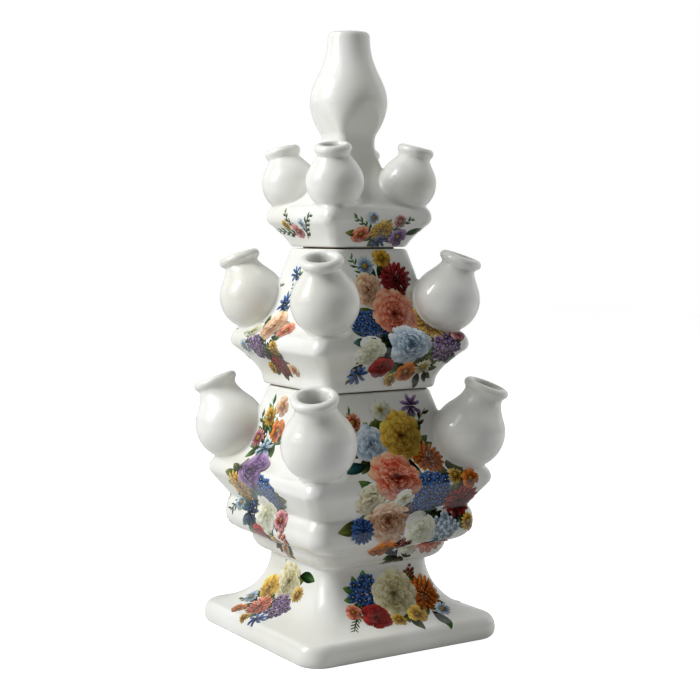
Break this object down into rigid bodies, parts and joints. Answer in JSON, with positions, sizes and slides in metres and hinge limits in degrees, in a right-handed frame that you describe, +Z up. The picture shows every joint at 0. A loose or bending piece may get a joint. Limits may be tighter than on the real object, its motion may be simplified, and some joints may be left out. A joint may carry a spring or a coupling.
{
  "type": "tulipiere",
  "caption": "Square tower vase for cut flowers: a flared foot, stacked lift-off water tiers with leaning bulb spouts on their corners, and a tall crown spout on top.",
  "frame": {"origin": "centre of the square foot, on the table", "axes": "+Z up along the tower; +X and +Y square to its side faces; the face seen most in the picture is -Y, and the spouts are on the diagonals"},
  "size_m": [0.1562, 0.1562, 0.38],
  "materials": {
    "white_glaze": "glossy white glaze over slip-cast earthenware; the floral transfers are in the visual model only"
  },
  "bodies": {
    "lower_tier": {"foot": "white_glaze", "lower_bowl": "white_glaze", "lower_spout_front": "white_glaze", "lower_spout_right": "white_glaze", "lower_spout_back": "white_glaze", "lower_spout_left": "white_glaze"},
    "middle_tier": {"middle_bowl": "white_glaze", "middle_spout_front": "white_glaze", "middle_spout_right": "white_glaze", "middle_spout_back": "white_glaze", "middle_spout_left": "white_glaze"},
    "top_tier": {"top_bowl": "white_glaze", "top_spout_front": "white_glaze", "top_spout_right": "white_glaze", "top_spout_back": "white_glaze", "top_spout_left": "white_glaze", "crown_spout": "white_glaze"}
  },
  "joints": [
    {"name": "middle_tier_lift", "type": "slide", "parent": "lower_tier", "child": "middle_tier", "axis": [0, 0, 1], "range_m": [0, 0.08]},
    {"name": "top_tier_lift", "type": "slide", "parent": "middle_tier", "child": "top_tier", "axis": [0, 0, 1], "range_m": [0, 0.08]}
  ]
}
